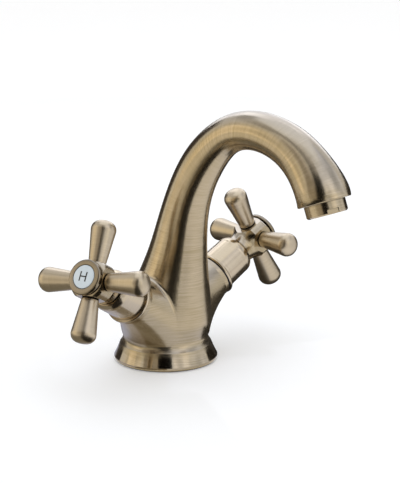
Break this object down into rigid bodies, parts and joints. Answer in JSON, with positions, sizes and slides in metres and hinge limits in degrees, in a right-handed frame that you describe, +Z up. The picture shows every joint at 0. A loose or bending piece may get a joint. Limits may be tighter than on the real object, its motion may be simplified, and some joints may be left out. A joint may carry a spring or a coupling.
{
  "type": "basin mixer faucet",
  "caption": "Basin mixer faucet with a fixed swan-neck spout, cross handles with porcelain index buttons and a flared round foot, in aged brushed brass.",
  "frame": {"origin": "centre of the round foot's underside, on the deck and on the axis of the deck's tap hole", "axes": "+Z up; -Y the way the spout reaches, towards the user; -X the hot valve, on the user's left"},
  "size_m": [0.154, 0.1347, 0.1311],
  "materials": {
    "aged_brass": "aged, brushed satin, darker patina at the edges",
    "machined_brass": "bright, turned",
    "porcelain": "glazed, glossy",
    "disc_ceramic": "lapped",
    "black_rubber": "matte",
    "white_plastic": "moulded",
    "stainless_steel": "satin"
  },
  "bodies": {
    "body": {"body_casting": "aged_brass", "foot_seal": "black_rubber", "aerator_housing": "aged_brass", "aerator_cartridge": "white_plastic", "aerator_screen": "stainless_steel", "aerator_washer": "black_rubber", "hot_bonnet": "aged_brass", "hot_bonnet_seal": "black_rubber", "hot_headwork": "machined_brass", "hot_headwork_washer": "black_rubber", "hot_seat_seal": "black_rubber", "hot_fixed_disc": "disc_ceramic", "cold_bonnet": "aged_brass", "cold_bonnet_seal": "black_rubber", "cold_headwork": "machined_brass", "cold_headwork_washer": "black_rubber", "cold_seat_seal": "black_rubber", "cold_fixed_disc": "disc_ceramic"},
    "hot_handle": {"hot_turning_disc": "disc_ceramic", "hot_spindle": "machined_brass", "hot_spindle_rings": "black_rubber", "hot_spindle_clip": "stainless_steel", "hot_handle_hub": "aged_brass", "hot_handle_screw": "stainless_steel", "hot_index_bezel": "aged_brass", "hot_index_button": "porcelain", "hot_arm_bottom": "aged_brass", "hot_arm_front": "aged_brass", "hot_arm_top": "aged_brass", "hot_arm_back": "aged_brass"},
    "cold_handle": {"cold_turning_disc": "disc_ceramic", "cold_spindle": "machined_brass", "cold_spindle_rings": "black_rubber", "cold_spindle_clip": "stainless_steel", "cold_handle_hub": "aged_brass", "cold_handle_screw": "stainless_steel", "cold_index_bezel": "aged_brass", "cold_index_button": "porcelain", "cold_arm_bottom": "aged_brass", "cold_arm_back": "aged_brass", "cold_arm_top": "aged_brass", "cold_arm_front": "aged_brass"}
  },
  "joints": [
    {"name": "hot_turn", "type": "hinge", "parent": "body", "child": "hot_handle", "pos_m": [0, -0.0001, 0.0205], "axis": [-0.8715, -0.1194, 0.4756], "range_deg": [0, 90]},
    {"name": "cold_turn", "type": "hinge", "parent": "body", "child": "cold_handle", "pos_m": [0, -0.0001, 0.0205], "axis": [0.8715, -0.1194, 0.4756], "range_deg": [-90, 0]}
  ]
}
